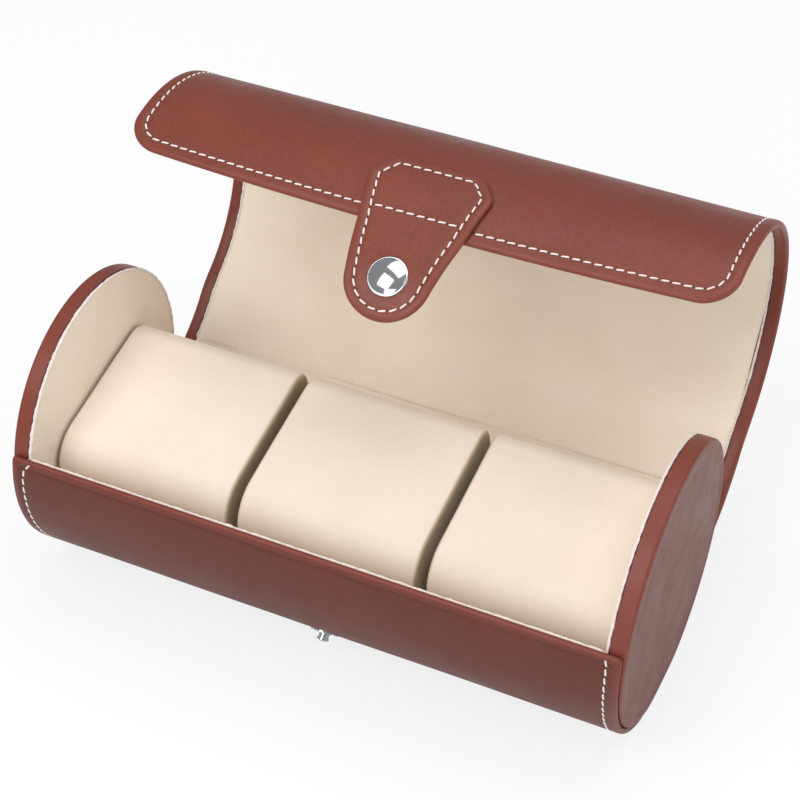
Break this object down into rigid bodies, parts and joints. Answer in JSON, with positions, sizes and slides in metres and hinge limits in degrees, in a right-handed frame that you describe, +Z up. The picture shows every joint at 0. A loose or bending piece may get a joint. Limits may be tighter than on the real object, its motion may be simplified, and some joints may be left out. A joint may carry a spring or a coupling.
{
  "type": "watch travel case",
  "caption": "Round leather travel case for watches: clam-shell lid on a leather hinge, strap with a snap, velvet pillows inside.",
  "frame": {"origin": "centre of the flat that the case stands on", "axes": "+X along the case, to the right as the snap is faced; +Y to the hinge at the back; +Z up"},
  "size_m": [0.2016, 0.1488, 0.1318],
  "materials": {
    "leather": "smooth semi-gloss imitation leather, red brown",
    "velvet": "short cream velvet",
    "greyboard": "grey board",
    "lid_card": "thin bent card",
    "end_board": "fibreboard",
    "snap": "polished chrome",
    "rivet": "plain brass",
    "pillow_core": "foam and card block"
  },
  "bodies": {
    "base": {"base_cover": "leather", "base_shell": "greyboard", "base_lining": "velvet", "end_cover_left": "leather", "end_cover_right": "leather", "end_board_left": "end_board", "end_board_right": "end_board", "end_lining_left": "velvet", "end_lining_right": "velvet", "stud_rivet": "rivet", "snap_stud": "snap"},
    "spine": {"hinge_leather": "leather", "hinge_lining": "velvet", "spine_cover": "leather", "spine_board": "lid_card", "spine_lining": "velvet"},
    "lid": {"lid_cover": "leather", "lid_board": "lid_card", "lid_lining": "velvet", "strap_root": "leather", "strap_root_backing": "leather"},
    "strap": {"strap_tongue": "leather", "strap_backing": "leather", "snap_cap": "snap", "snap_socket": "snap", "socket_spring": "rivet"},
    "pillow_left": {"pillow_left": "velvet", "pillow_core_left": "pillow_core"},
    "pillow_middle": {"pillow_middle": "velvet", "pillow_core_middle": "pillow_core"},
    "pillow_right": {"pillow_right": "velvet", "pillow_core_right": "pillow_core"}
  },
  "joints": [
    {"name": "spine_hinge", "type": "hinge", "parent": "base", "child": "spine", "pos_m": [0, 0.03969, 0.02021], "axis": [-1, 0, 0], "range_deg": [-55.2, 35], "deforming": ["hinge_leather", "hinge_lining"]},
    {"name": "lid_hinge", "type": "hinge", "parent": "spine", "child": "lid", "pos_m": [0, 0.07341, 0.03882], "axis": [-1, 0, 0], "range_deg": [-28.1, 15]},
    {"name": "strap_flex", "type": "hinge", "parent": "lid", "child": "strap", "pos_m": [0, 0.02773, 0.12347], "axis": [-1, 0, 0], "range_deg": [-16, 35]},
    {"name": "pillow_left_lift", "type": "slide", "parent": "base", "child": "pillow_left", "axis": [0, -0.3584, 0.9336], "range_m": [0, 0.11]},
    {"name": "pillow_middle_lift", "type": "slide", "parent": "base", "child": "pillow_middle", "axis": [0, -0.3584, 0.9336], "range_m": [0, 0.046]},
    {"name": "pillow_right_lift", "type": "slide", "parent": "base", "child": "pillow_right", "axis": [0, -0.3584, 0.9336], "range_m": [0, 0.11]}
  ]
}
